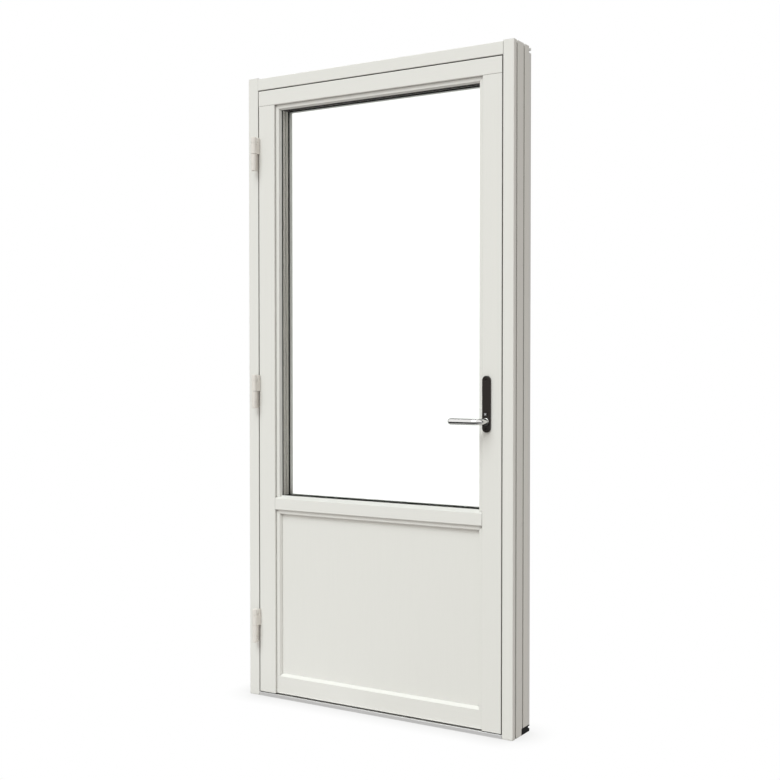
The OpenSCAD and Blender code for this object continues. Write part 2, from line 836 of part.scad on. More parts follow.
module safety_button() color("silver")
    bar_in_y(lever_x, plate_face_y - button_out, front - button_room, button_z, button_r);

// Round bar that leaves the plate, turns in a smooth elbow and runs level to a domed tip
module handle_lever() color("silver") {
    grip_y = front - lever_out;
    tip_x = lever_x - lever_l + lever_r;
    difference() {
        union() {
            bar_in_y(lever_x, grip_y + elbow_r, front - 1, lever_z, lever_r);
            bar_in_y(lever_x, plate_face_y - 3, front - 0.5, lever_z, collar_r);
            translate([lever_x - elbow_r, grip_y + elbow_r, lever_z]) rotate([0, 0, -90])
                rotate_extrude(angle = 90) translate([elbow_r, 0]) circle(lever_r);
            bar_in_x(tip_x, lever_x - elbow_r, grip_y, lever_z, lever_r);
            translate([tip_x, grip_y, lever_z]) sphere(lever_r);
        }
        spindle_square(plate_face_y - spindle_out - 0.5, front + 1, spindle_play);
    }
}

jamb_hinge_side();
jamb_lock_side();
frame_head();
stop_hinge_side();
stop_lock_side();
stop_head();
threshold_sill();
threshold_core();
frame_cladding_head();
frame_cladding_hinge_side();
frame_cladding_lock_side();
frame_seal();
strike_plates();
strike_screws();
hinge_frame_leaf(hinge_z[0]);  // hinge_frame_leaf_1
hinge_frame_leaf(hinge_z[1]);  // hinge_frame_leaf_2
hinge_frame_leaf(hinge_z[2]);  // hinge_frame_leaf_3
hinge_pins();
hinge_lower_caps();
hinge_frame_screws();
stile_hinge_side();
stile_lock_side();
top_rail();
mid_rail();
bottom_rail();
glass_inner();
glass_middle();
glass_outer();
spacer_inner();
spacer_outer();
glazing_gasket_inner();
glazing_gasket_outer();
setting_blocks();
glazing_bead_left();
glazing_bead_right();
glazing_bead_top();
panel_bead_left();
panel_bead_right();
panel_bead_top();
lower_panel();
sash_cladding_hinge_side();
sash_cladding_lock_side();
sash_cladding_top();
sash_cladding_mid();
sash_cladding_bottom();
hinge_sash_leaf(hinge_z[0]);  // hinge_sash_leaf_1
hinge_sash_leaf(hinge_z[1]);  // hinge_sash_leaf_2
hinge_sash_leaf(hinge_z[2]);  // hinge_sash_leaf_3
hinge_upper_caps();
hinge_sash_screws();
lock_faceplate();
gearbox_case();
handle_plate();
handle_screws();
handle_lever();
handle_spindle();
gearbox_hub();
safety_button();
upper_rod();
lower_rod();
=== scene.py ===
# Looks of an inward-opening balcony door in its frame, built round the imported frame.
import math

import bmesh
import bpy
from mathutils import Matrix, Vector


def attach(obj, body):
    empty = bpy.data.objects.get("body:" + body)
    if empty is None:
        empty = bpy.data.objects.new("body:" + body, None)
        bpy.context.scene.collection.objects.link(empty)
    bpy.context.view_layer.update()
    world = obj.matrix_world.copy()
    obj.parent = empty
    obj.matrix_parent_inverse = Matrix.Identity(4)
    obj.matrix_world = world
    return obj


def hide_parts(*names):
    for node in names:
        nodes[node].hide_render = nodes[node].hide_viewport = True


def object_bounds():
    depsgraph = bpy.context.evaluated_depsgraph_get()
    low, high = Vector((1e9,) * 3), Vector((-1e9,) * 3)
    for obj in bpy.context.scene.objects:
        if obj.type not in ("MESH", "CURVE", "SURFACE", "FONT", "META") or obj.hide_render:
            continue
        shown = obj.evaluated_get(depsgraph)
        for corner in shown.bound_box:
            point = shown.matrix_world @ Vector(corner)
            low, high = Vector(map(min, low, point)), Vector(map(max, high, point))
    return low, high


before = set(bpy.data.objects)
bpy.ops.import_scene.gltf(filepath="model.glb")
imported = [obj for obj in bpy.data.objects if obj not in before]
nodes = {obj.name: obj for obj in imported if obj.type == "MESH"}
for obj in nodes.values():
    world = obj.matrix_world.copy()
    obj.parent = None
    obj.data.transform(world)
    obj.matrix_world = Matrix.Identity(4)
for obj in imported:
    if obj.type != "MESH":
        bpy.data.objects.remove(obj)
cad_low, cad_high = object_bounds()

scene = bpy.context.scene


# ---- Room, light and camera ----
# A pale studio: a white floor under a white sky, and one broad soft light from above and in front.
# Surfaces are seen against pure white but gather a slightly warm, dimmer light from all round.
# The camera stands to the right of the door at chest height.

def linear(hex_colour, alpha=1.0):
    """An sRGB hex value as the linear colour that Blender's sockets take."""
    out = []
    for place in (0, 2, 4):
        c = int(hex_colour[place:place + 2], 16) / 255
        out.append(c / 12.92 if c <= 0.04045 else ((c + 0.055) / 1.055) ** 2.4)
    return (*out, alpha)


def add_node(tree, kind, settings=None, inputs=None, links=None):
    """Adds one shader node: settings are its properties, inputs its fixed values, links its sources."""
    node = tree.nodes.new(kind)
    for name, value in (settings or {}).items():
        setattr(node, name, value)
    for name, value in (inputs or {}).items():
        node.inputs[name].default_value = value
    for name, source in (links or {}).items():
        tree.links.new(source, node.inputs[name])
    return node


def new_material(name):
    """An empty node material, its tree and its Principled shader."""
    mat = bpy.data.materials.new(name)
    mat.use_nodes = True
    tree = mat.node_tree
    tree.nodes.clear()
    shader = add_node(tree, "ShaderNodeBsdfPrincipled")
    add_node(tree, "ShaderNodeOutputMaterial", links={"Surface": shader.outputs[0]})
    return mat, tree, shader


def mixed(tree, factor, first, second):
    """A colour mix: each end is a fixed colour or another node's output."""
    mix = add_node(tree, "ShaderNodeMix", {"data_type": "RGBA"}, links={"Factor": factor})
    ends = [socket for socket in mix.inputs if socket.type == "RGBA"]
    for socket, value in zip(ends, (first, second)):
        if isinstance(value, tuple):
            socket.default_value = value
        else:
            tree.links.new(value, socket)
    return next(socket for socket in mix.outputs if socket.type == "RGBA")


def toned_along_y(tree, low, high, coordinate, tones):
    """Greys laid along Y from low to high: each tone is (share of the way, level)."""
    place = add_node(tree, "ShaderNodeTexCoord")
    apart = add_node(tree, "ShaderNodeSeparateXYZ", links={"Vector": place.outputs[coordinate]})
    run = add_node(tree, "ShaderNodeMapRange", inputs={"From Min": low, "From Max": high},
                   links={"Value": apart.outputs["Y"]})
    ramp = add_node(tree, "ShaderNodeValToRGB", links={"Fac": run.outputs[0]})
    steps = ramp.color_ramp.elements
    for _ in tones[2:]:
        steps.new(1)
    for step, (share, level) in zip(steps, tones):
        step.position = share
        step.color = (level, level, level, 1)
    return ramp.outputs[0]


scene.view_settings.view_transform = "Standard"
scene.view_settings.look = "None"

white = (1, 1, 1, 1)
white_through_glass = (1.15, 1.15, 1.15, 1)
room_tone = (0.515, 0.492, 0.468, 1)
world = bpy.data.worlds.new("white_studio")
scene.world = world
world.use_nodes = True
sky_tree = world.node_tree
sky_tree.nodes.clear()
sky_ray = add_node(sky_tree, "ShaderNodeLightPath")
# What polished metal mirrors: white in front of the door, dark behind it
behind = toned_along_y(sky_tree, -1, 1, "Generated", [(0, 1), (0.52, 1), (0.62, 0.05), (1, 0.12)])
sky_clear = mixed(sky_tree, sky_ray.outputs["Is Transmission Ray"], white, white_through_glass)
sky_seen = mixed(sky_tree, sky_ray.outputs["Glossy Depth"], sky_clear, behind)
sky_tone = mixed(sky_tree, sky_ray.outputs["Is Diffuse Ray"], sky_seen, room_tone)
sky = add_node(sky_tree, "ShaderNodeBackground", links={"Color": sky_tone})
add_node(sky_tree, "ShaderNodeOutputWorld", links={"Surface": sky.outputs[0]})

softbox_light = bpy.data.lights.new("overhead_softbox", "SUN")
softbox_light.energy = 2.1
softbox_light.angle = math.radians(38)
softbox_light.color = (0.93, 0.99, 1.0)
softbox = bpy.data.objects.new("overhead_softbox", softbox_light)
scene.collection.objects.link(softbox)
softbox.rotation_mode = "QUATERNION"
softbox.rotation_quaternion = Vector((0.02, 0.33, -0.41)).to_track_quat("-Z", "Y")

bpy.ops.object.select_all(action="DESELECT")
bpy.ops.mesh.primitive_plane_add(size=60, location=(0, 0, cad_low.z - 0.0005))
floor = bpy.context.object
floor.name = "studio_floor"
floor_paint = bpy.data.materials.new("white_painted_floor")
floor_paint.use_nodes = True
floor_tree = floor_paint.node_tree
floor_tree.nodes.clear()
# Painted contact shadow: where ambient occlusion finds the door within 10 cm, the floor's white glow turns
# light grey
painted_contact_shade = add_node(floor_tree, "ShaderNodeAmbientOcclusion", {"samples": 8}, {"Distance": 0.10})
painted_contact_shade_tone = add_node(floor_tree, "ShaderNodeValToRGB", links={"Fac": painted_contact_shade.outputs["AO"]})
painted_contact_shade_tone.color_ramp.elements[0].color = linear("DADAD8")
painted_contact_shade_tone.color_ramp.elements[1].color = white
floor_ray = add_node(floor_tree, "ShaderNodeLightPath")
# In the lever the floor is a dark band from 1 to 7 m before the door, and grey close to it
dark_strip = toned_along_y(floor_tree, -8, 0, "Object",
                           [(0, 1), (0.04, 1), (0.10, 0.01), (0.88, 0.01), (0.95, 0.38), (1, 0.38)])
floor_clear = mixed(floor_tree, floor_ray.outputs["Is Transmission Ray"], painted_contact_shade_tone.outputs[0],
                    white_through_glass)
floor_seen = mixed(floor_tree, floor_ray.outputs["Glossy Depth"], floor_clear, dark_strip)
floor_tone = mixed(floor_tree, floor_ray.outputs["Is Diffuse Ray"], floor_seen, room_tone)
floor_glow = add_node(floor_tree, "ShaderNodeEmission", links={"Color": floor_tone})
add_node(floor_tree, "ShaderNodeOutputMaterial", links={"Surface": floor_glow.outputs[0]})
floor.data.materials.append(floor_paint)

camera_data = bpy.data.cameras.new("camera")
camera_data.sensor_width = 36
camera_data.lens = 55.54
camera = bpy.data.objects.new("camera", camera_data)
scene.collection.objects.link(camera)
camera.location = (2.0591, -3.2748, 1.1264)
camera.rotation_euler = (math.radians(88.698), 0, math.radians(31.788))
scene.camera = camera


# ---- Painted timber of the frame ----
# Jambs, head and planted stops of pine in satin white paint. Long edges are eased as a spray shop leaves
# them, and the paint keeps a faint trace of the grain along each member.

def alone(*objects):
    """Selects only these objects, the first of them active, ready for an operator."""
    bpy.ops.object.select_all(action="DESELECT")
    for obj in objects:
        obj.select_set(True)
    bpy.context.view_layer.objects.active = objects[0]


def finished(obj, name, mat, smooth_angle=35):
    """Names a modelled piece, coats it, turns its faces outwards and smooths all but its corners."""
    alone(obj)
    bpy.ops.object.mode_set(mode="EDIT")
    bpy.ops.mesh.select_all(action="SELECT")
    bpy.ops.mesh.normals_make_consistent(inside=False)
    bpy.ops.object.mode_set(mode="OBJECT")
    obj.name = name
    obj.data.name = name
    obj.data.materials.clear()
    obj.data.materials.append(mat)
    bpy.ops.object.shade_smooth_by_angle(angle=math.radians(smooth_angle))
    even = obj.modifiers.new("even_normals", "WEIGHTED_NORMAL")
    even.keep_sharp = True
    bpy.ops.object.modifier_apply(modifier=even.name)
    return obj


def eased_copy(node, name, mat, width, shortest=0.0):
    """A merged copy of a CAD node, with each sharp edge longer than shortest rounded over."""
    obj = bpy.data.objects.new(name, nodes[node].data.copy())
    scene.collection.objects.link(obj)
    alone(obj)
    bpy.ops.object.mode_set(mode="EDIT")
    bpy.ops.mesh.select_mode(type="EDGE")
    bpy.ops.mesh.select_all(action="SELECT")
    bpy.ops.mesh.remove_doubles(threshold=merge_gap)
    bpy.ops.mesh.dissolve_limited(angle_limit=flat_below, delimit=set())
    bpy.ops.mesh.select_all(action="DESELECT")
    edit = bmesh.from_edit_mesh(obj.data)
    for edge in edit.edges:
        closed = len(edge.link_faces) == 2
        edge.select_set(closed and edge.calc_length() > shortest and edge.calc_face_angle(0) > sharp_above)
    bmesh.update_edit_mesh(obj.data)
    bpy.ops.mesh.bevel(offset=width, segments=2, affect="EDGES", clamp_overlap=False, loop_slide=False)
    bpy.ops.object.mode_set(mode="OBJECT")
    return finished(obj, name, mat)


merge_gap = 2e-5
flat_below = math.radians(1)
sharp_above = math.radians(28)


def stand_for(obj, body, slot, *replaced):
    """Parents a piece to the empty of the body it rides on and hides the CAD nodes that it stands for. The
    slot argument is not used.
    """
    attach(obj, body)
    if replaced:
        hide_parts(*replaced)


def grain(tree, along, across_scale, along_scale):
    """Fine streaks that run along one axis; the scales are streaks a metre, across and along."""
    place = add_node(tree, "ShaderNodeTexCoord")
    stretch = [across_scale] * 3
    stretch["xyz".index(along)] = along_scale
    mapping = add_node(tree, "ShaderNodeMapping", inputs={"Scale": stretch},
                       links={"Vector": place.outputs["Object"]})
    return add_node(tree, "ShaderNodeTexNoise", inputs={"Scale": 1.0, "Detail": 4.0, "Roughness": 0.55},
                    links={"Vector": mapping.outputs[0]})


def painted_shade_in_gaps(tree, tone, reach, deepest_painted_shade):
    """The same tone with painted shade: darker in narrow gaps, grooves and inner corners, where ambient
    occlusion finds them.
    """
    gap = add_node(tree, "ShaderNodeAmbientOcclusion", {"samples": 8}, {"Distance": reach})
    how_open = add_node(tree, "ShaderNodeMapRange", inputs={"From Min": 0.12, "From Max": 0.72},
                        links={"Value": gap.outputs["AO"]})
    return mixed(tree, how_open.outputs[0], linear(deepest_painted_shade), tone)


def satin_paint(name, along):
    """Satin white joinery paint: soft sheen, a faint grain relief and hardly any change of tone, with
    painted shade darkening its gaps and grooves.
    """
    mat, tree, shader = new_material(name)
    streaks = grain(tree, along, 420, 9)
    tone = add_node(tree, "ShaderNodeValToRGB", links={"Fac": streaks.outputs[0]})
    tone.color_ramp.elements[0].color = linear("E4E3DE")
    tone.color_ramp.elements[1].color = linear("E8E7E2")
    sheen = add_node(tree, "ShaderNodeMapRange", inputs={"To Min": 0.38, "To Max": 0.5},
                     links={"Value": streaks.outputs[0]})
    relief = add_node(tree, "ShaderNodeBump", inputs={"Strength": 0.12, "Distance": 0.0002},
                      links={"Height": streaks.outputs[0]})
    # Painted shade: within 12 mm of a gap or groove the paint's tone darkens towards a warm dark grey
    tree.links.new(painted_shade_in_gaps(tree, tone.outputs[0], 0.012, "565049"), shader.inputs["Base Color"])
    tree.links.new(sheen.outputs[0], shader.inputs["Roughness"])
    tree.links.new(relief.outputs[0], shader.inputs["Normal"])
    shader.inputs["Specular IOR Level"].default_value = 0.35
    return mat


upright_paint = satin_paint("satin_white_paint_on_upright_pine", "z")
level_paint = satin_paint("satin_white_paint_on_level_pine", "x")

timber_edge, bead_edge, extrusion_edge = 0.0009, 0.0007, 0.0006


def painted(body, mat, width, shortest, *members):
    """Painted copies of timber members, each with its edges eased."""
    for node in members:
        stand_for(eased_copy(node, node + "_painted", mat, width, shortest), body, "painted_timber", node)


painted("frame", upright_paint, timber_edge, 0.012, "jamb_hinge_side", "jamb_lock_side", "stop_hinge_side",
        "stop_lock_side")
painted("frame", level_paint, timber_edge, 0.012, "frame_head", "stop_head")


# ---- Plugs in the frame's fixing holes ----
# Moulded plastic plugs close the eight fixing holes flush, outside and in the reveal. They are a touch
# glossier than the paint round them.

def turned(name, mat, profile, places, axis, turns=40, lobes=0):
    """One round piece at each place. A ring is extruded up its axis and scaled to each (radius, height,
    lobe depth) of the profile. An end of radius 0 is drawn to a point, or filled where it lies level."""
    bpy.ops.object.select_all(action="DESELECT")
    bpy.ops.mesh.primitive_circle_add(vertices=turns, radius=1, fill_type="NOTHING", location=(0, 0, 0))
    pattern = bpy.context.object
    bpy.ops.object.mode_set(mode="EDIT")
    bpy.ops.mesh.select_mode(type="VERT")
    bpy.ops.mesh.select_all(action="SELECT")
    last_radius, last_height, last_lobe = 1, 0, 0
    for step, (radius, height, lobe) in enumerate(profile[1:]):
        if radius == 0 and height == last_height:
            break
        if step:
            bpy.ops.mesh.extrude_region_move()
        bpy.ops.transform.translate(value=(0, 0, height - last_height))
        if radius == 0:
            bpy.ops.mesh.merge(type="CENTER")
            break
        change = radius / last_radius
        bpy.ops.transform.resize(value=(change, change, 1), center_override=(0, 0, 0))
        if lobe != last_lobe:
            edit = bmesh.from_edit_mesh(pattern.data)
            for vert in [v for v in edit.verts if v.select]:
                wave = math.cos(lobes * math.atan2(vert.co.y, vert.co.x))
                vert.co.xy *= (1 + lobe * wave) / (1 + last_lobe * wave)
            bmesh.update_edit_mesh(pattern.data)
        last_radius, last_height, last_lobe = radius, height, lobe
    foot, first_height = profile[0][1], profile[1][1]
    if foot != first_height:
        bpy.ops.mesh.select_all(action="DESELECT")
        edit = bmesh.from_edit_mesh(pattern.data)
        for vert in edit.verts:
            vert.select_set(abs(vert.co.z - first_height) < merge_gap)
        edit.select_flush_mode()
        bmesh.update_edit_mesh(pattern.data)
        bpy.ops.mesh.extrude_region_move(TRANSFORM_OT_translate={"value": (0, 0, foot - first_height)})
        bpy.ops.mesh.merge(type="CENTER")
    bpy.ops.mesh.select_all(action="SELECT")
    bpy.ops.mesh.fill_holes(sides=0)
    bpy.ops.object.mode_set(mode="OBJECT")

    axis = Vector(axis).normalized()
    side = axis.orthogonal().normalized()
    turn = Matrix((side, axis.cross(side), axis)).transposed().to_4x4()
    copies = []
    for place in places:
        mesh = pattern.data.copy()
        mesh.transform(Matrix.Translation(place) @ turn)
        copies.append(bpy.data.objects.new(name, mesh))
        scene.collection.objects.link(copies[-1])
    bpy.data.objects.remove(pattern)
    alone(*copies)
    bpy.ops.object.join()
    return finished(copies[0], name, mat)


def plain_coat(name, colour, roughness, speck=0.0, specular=0.5, metallic=0.0):
    """A smooth moulded or coated surface whose roughness wavers a little over a few millimetres."""
    mat, tree, shader = new_material(name)
    place = add_node(tree, "ShaderNodeTexCoord")
    noise = add_node(tree, "ShaderNodeTexNoise", inputs={"Scale": 900.0, "Detail": 2.0},
                     links={"Vector": place.outputs["Object"]})
    level = add_node(tree, "ShaderNodeMapRange",
                     inputs={"To Min": roughness * 0.9, "To Max": roughness * 1.1},
                     links={"Value": noise.outputs[0]})
    tree.links.new(level.outputs[0], shader.inputs["Roughness"])
    if speck:
        relief = add_node(tree, "ShaderNodeBump", inputs={"Strength": speck, "Distance": 0.0001},
                          links={"Height": noise.outputs[0]})
        tree.links.new(relief.outputs[0], shader.inputs["Normal"])
    shader.inputs["Base Color"].default_value = linear(colour)
    shader.inputs["Specular IOR Level"].default_value = specular
    shader.inputs["Metallic"].default_value = metallic
    return mat


plug_white = plain_coat("moulded_white_plastic", "E6E5E0", 0.34)
plug_profile = [(0.0, -0.004, 0), (0.0044, -0.004, 0), (0.0048, -0.0002, 0), (0.0046, 0.0, 0),
                (0.0038, 0.0, 0), (0.0, 0.0, 0)]
hole_y, hole_heights = -0.002, (0.170, 0.640, 1.420, 1.890)
for name, x, facing in (("hinge_jamb", -0.495, -1), ("hinge_reveal", -0.455, 1),
                        ("lock_jamb", 0.495, 1), ("lock_reveal", 0.459, -1)):
    plugs = turned(name + "_hole_plugs", plug_white, plug_profile, [(x, hole_y, z) for z in hole_heights],
                   (facing, 0, 0))
    stand_for(plugs, "frame", "painted_timber")


# ---- Threshold ----
# A satin anodised aluminium sill with a ribbed tread and drain slots, on a moulded black core whose
# grooved nose shows at both ends of the frame.

def open_box(centre, size):
    """A plane of this length, width and height of 0, or a cube, at its place and open in edit mode."""
    bpy.ops.object.select_all(action="DESELECT")
    if size[2]:
        bpy.ops.mesh.primitive_cube_add(size=1, location=centre)
    else:
        bpy.ops.mesh.primitive_plane_add(size=1, location=centre)
    obj = bpy.context.object
    obj.scale = (size[0], size[1], size[2] or 1)
    bpy.ops.object.transform_apply(location=True, rotation=True, scale=True)
    bpy.ops.object.mode_set(mode="EDIT")
    bpy.ops.mesh.select_mode(type="VERT")
    bpy.ops.mesh.select_all(action="SELECT")
    return obj


def repeated(obj, count, step):
    """Leaves edit mode and repeats a piece along a step."""
    bpy.ops.object.mode_set(mode="OBJECT")
    row = obj.modifiers.new("row", "ARRAY")
    row.count = count
    row.use_relative_offset = False
    row.use_constant_offset = True
    row.constant_offset_displace = step
    bpy.ops.object.modifier_apply(modifier=row.name)
    return obj


def drawn_metal(name, colour, roughness, along, line_depth=0.15):
    """Extruded or drawn metal: reflections smear into fine lines that run along one axis."""
    mat, tree, shader = new_material(name)
    lines = grain(tree, along, 2200, 6)
    level = add_node(tree, "ShaderNodeMapRange",
                     inputs={"To Min": roughness * 0.85, "To Max": roughness * 1.2},
                     links={"Value": lines.outputs[0]})
    relief = add_node(tree, "ShaderNodeBump", inputs={"Strength": line_depth, "Distance": 0.00005},
                      links={"Height": lines.outputs[0]})
    tree.links.new(level.outputs[0], shader.inputs["Roughness"])
    tree.links.new(relief.outputs[0], shader.inputs["Normal"])
    shader.inputs["Base Color"].default_value = linear(colour)
    shader.inputs["Metallic"].default_value = 1.0
    return mat


anodised = drawn_metal("satin_anodised_aluminium", "F4F3F1", 0.42, "x")
black_core = plain_coat("moulded_black_composite", "0C0B0B", 0.6, speck=0.2, specular=0.25)
stand_for(eased_copy("threshold_sill", "threshold_sill_anodised", anodised, 0.0007, shortest=0.004),
          "frame", "anodised_aluminium", "threshold_sill")
stand_for(eased_copy("threshold_core", "threshold_core_moulded", black_core, 0.0006, shortest=0.003),
          "frame", "black_composite", "threshold_core")

sill_l, sill_r, sill_top, ledge_top = -0.455, 0.459, 0.0117, 0.022
rib_base, rib_crest, rib_high, rib_sunk, rib_pitch = 0.0018, 0.0008, 0.0010, 0.0003, 0.0032
first_rib_y = 0.0084
ribs = open_box(((sill_l + sill_r) / 2, first_rib_y, ledge_top - rib_sunk), (sill_r - sill_l, rib_base, 0))
bpy.ops.mesh.extrude_region_move(TRANSFORM_OT_translate={"value": (0, 0, rib_high)})
bpy.ops.transform.resize(value=(1, rib_crest / rib_base, 1), center_override=(0, first_rib_y, 0))
repeated(ribs, 5, (0, rib_pitch, 0))
stand_for(finished(ribs, "threshold_tread_ribs", anodised), "frame", "anodised_aluminium")

# Each slot is a plane whose corners are rounded until its ends are half circles, then given a depth
slot_long, slot_wide, slot_proud, slot_deep, slot_y, slot_pitch = 0.029, 0.005, 0.0002, 0.0012, -0.027, 0.30
slots = open_box((-slot_pitch, slot_y, sill_top + slot_proud), (slot_long, slot_wide, 0))
bpy.ops.mesh.bevel(offset=slot_wide / 2, segments=16, affect="VERTICES", clamp_overlap=False)
bpy.ops.mesh.select_all(action="SELECT")
bpy.ops.mesh.remove_doubles(threshold=merge_gap)
bpy.ops.mesh.extrude_region_move(TRANSFORM_OT_translate={"value": (0, 0, -slot_deep)})
repeated(slots, 3, (slot_pitch, 0, 0))
stand_for(finished(slots, "threshold_drain_slots", black_core), "frame", "black_composite")


# ---- Aluminium cladding ----
# Extruded and powder-coated aluminium channels behind the timber of frame and sash, with the coat's fine
# orange peel and the small radius that an extrusion has on its corners.

def powder_coat(name, colour):
    """White powder coat: an even satin skin over a fine orange peel, with painted shade darkening its gaps
    and inner corners.
    """
    mat, tree, shader = new_material(name)
    place = add_node(tree, "ShaderNodeTexCoord")
    peel = add_node(tree, "ShaderNodeTexNoise", inputs={"Scale": 700.0, "Detail": 1.0},
                    links={"Vector": place.outputs["Object"]})
    relief = add_node(tree, "ShaderNodeBump", inputs={"Strength": 0.25, "Distance": 0.0001},
                      links={"Height": peel.outputs[0]})
    skin = add_node(tree, "ShaderNodeMapRange", inputs={"To Min": 0.97, "To Max": 1.0},
                    links={"Value": peel.outputs[0]})
    tone = mixed(tree, skin.outputs[0], linear("CFCFCC"), linear(colour))
    # Painted shade: within 25 mm of a gap or inner corner the coat's tone darkens towards near black
    tree.links.new(painted_shade_in_gaps(tree, tone, 0.025, "1A1918"), shader.inputs["Base Color"])
    tree.links.new(relief.outputs[0], shader.inputs["Normal"])
    shader.inputs["Roughness"].default_value = 0.4
    return mat


powder_white = powder_coat("white_powder_coat", "E3E3E0")
for body, profiles in (("frame", ("hinge_side", "lock_side", "head")),
                       ("sash", ("hinge_side", "lock_side", "top", "mid", "bottom"))):
    for profile in profiles:
        node = body + "_cladding_" + profile
        stand_for(eased_copy(node, node + "_coated", powder_white, extrusion_edge, shortest=0.003),
                  body, "coated_aluminium", node)

# Hoods over the drain holes of the sash's two level channels: a block whose outer top edge leans back,
# with a knee low down on its face
hood_long, hood_deep, hood_high, hood_lean, hood_knee = 0.028, 0.0035, 0.007, 0.0025, 0.00034
hood_y, hood_foot, hood_pitch, hood_rise = 0.0205, 0.037, 0.24, 0.61
hoods = open_box((-hood_pitch, hood_y + hood_deep / 2, hood_foot + hood_high / 2),
                 (hood_long, hood_deep, hood_high))


def move_outer_edge(z, distance):
    """Moves the hood's outer edge at this height along Y."""
    bpy.ops.mesh.select_all(action="DESELECT")
    edit = bmesh.from_edit_mesh(hoods.data)
    for vert in edit.verts:
        vert.select_set(abs(vert.co.z - z) < merge_gap and vert.co.y > hood_y + merge_gap)
    bmesh.update_edit_mesh(hoods.data)
    bpy.ops.transform.translate(value=(0, distance, 0))


knee_z = hood_foot + 0.0015
move_outer_edge(hood_foot + hood_high, -hood_lean)
bpy.ops.mesh.select_all(action="SELECT")
bpy.ops.mesh.bisect(plane_co=(0, 0, knee_z), plane_no=(0, 0, 1))
move_outer_edge(knee_z, hood_knee)
repeated(hoods, 3, (hood_pitch, 0, 0))
repeated(hoods, 2, (0, 0, hood_rise))
stand_for(finished(hoods, "sash_drain_hoods", powder_white), "sash", "coated_aluminium")


# ---- Seal, gaskets and spacers ----
# A soft grey lip seal round the stops, extruded black gaskets either side of the glass, and warm-edge
# spacer bars with rows of fine holes in the face that looks into the cavity.

def mitred_ring(name, mat, x0, x1, z0, z1, section):
    """A rectangular ring mitred at its corners. A line round the rectangle is extruded and scaled to each
    (distance inside the rectangle, depth y) of the section, and its last line is bridged to its first."""
    centre = ((x0 + x1) / 2, 0, (z0 + z1) / 2)
    bpy.ops.object.select_all(action="DESELECT")
    bpy.ops.mesh.primitive_plane_add(size=1, location=centre, rotation=(math.pi / 2, 0, 0))
    obj = bpy.context.object
    obj.scale = (x1 - x0, z1 - z0, 1)
    bpy.ops.object.transform_apply(location=True, rotation=True, scale=True)
    bpy.ops.object.mode_set(mode="EDIT")
    bpy.ops.mesh.select_mode(type="EDGE")
    bpy.ops.mesh.select_all(action="SELECT")
    bpy.ops.mesh.delete(type="ONLY_FACE")
    bpy.ops.mesh.select_all(action="SELECT")
    last_inset, last_y = 0, 0
    for step, (inset, y) in enumerate(section):
        if step:
            bpy.ops.mesh.extrude_region_move()
        narrower = (x1 - x0 - 2 * inset) / (x1 - x0 - 2 * last_inset)
        lower = (z1 - z0 - 2 * inset) / (z1 - z0 - 2 * last_inset)
        bpy.ops.transform.resize(value=(narrower, 1, lower), center_override=centre)
        bpy.ops.transform.translate(value=(0, y - last_y, 0))
        last_inset, last_y = inset, y
    bpy.ops.mesh.select_all(action="DESELECT")
    bpy.ops.mesh.select_non_manifold()
    bpy.ops.mesh.bridge_edge_loops()
    bpy.ops.object.mode_set(mode="OBJECT")
    return finished(obj, name, mat, 50)


def rounded(corners, radius, steps=4):
    """A closed outline with each corner rounded by a short arc."""
    out = []
    for k, corner in enumerate(corners):
        here = Vector(corner)
        back = (Vector(corners[k - 1]) - here).normalized() * radius
        ahead = (Vector(corners[(k + 1) % len(corners)]) - here).normalized() * radius
        for s in range(steps + 1):
            t = s / steps
            out.append(tuple(here + back * (1 - t) ** 2 + ahead * t ** 2))
    return out


seal_grey = plain_coat("soft_grey_seal", "4A4A48", 0.62, speck=0.1)
gasket_black = plain_coat("extruded_black_gasket", "060606", 0.6, speck=0.1, specular=0.15)
stop_l, stop_r, stop_low, stop_high = -0.433, 0.437, 0.036, 2.0155
seal = mitred_ring("frame_lip_seal", seal_grey, stop_l - 0.008, stop_r + 0.008, stop_low - 0.008,
                   stop_high + 0.008,
                   [(0.0002, 0.0249), (0.0002, 0.0238), (0.0008, 0.0224), (0.0022, 0.0215), (0.0036, 0.0215),
                    (0.0048, 0.0222), (0.0058, 0.0236), (0.0058, 0.0249)])
stand_for(seal, "frame", "grey_seal", "frame_seal")

sight_l, sight_r, sight_low, sight_high = -0.370, 0.374, 0.682, 1.9665


def round_the_glass(name, mat, outside, section):
    """A ring that starts this far outside the glass's sight line."""
    return mitred_ring(name, mat, sight_l - outside, sight_r + outside, sight_low - outside,
                       sight_high + outside, section)


gasket_inner = round_the_glass("glazing_gasket_room_side", gasket_black, 0.0075, [
    (0.0, -0.0388), (0.0055, -0.0388), (0.0072, -0.0382), (0.0078, -0.0368), (0.0075, -0.0351),
    (0.0, -0.0351)])
stand_for(gasket_inner, "sash", "black_gasket", "glazing_gasket_inner")
gasket_outer = round_the_glass("glazing_gasket_outdoor_side", gasket_black, 0.0079, [
    (0.0, 0.0011), (0.0078, 0.0011), (0.0079, 0.0030), (0.0070, 0.0044), (0.0055, 0.0049), (0.0, 0.0049)])
stand_for(gasket_outer, "sash", "black_gasket", "glazing_gasket_outer")


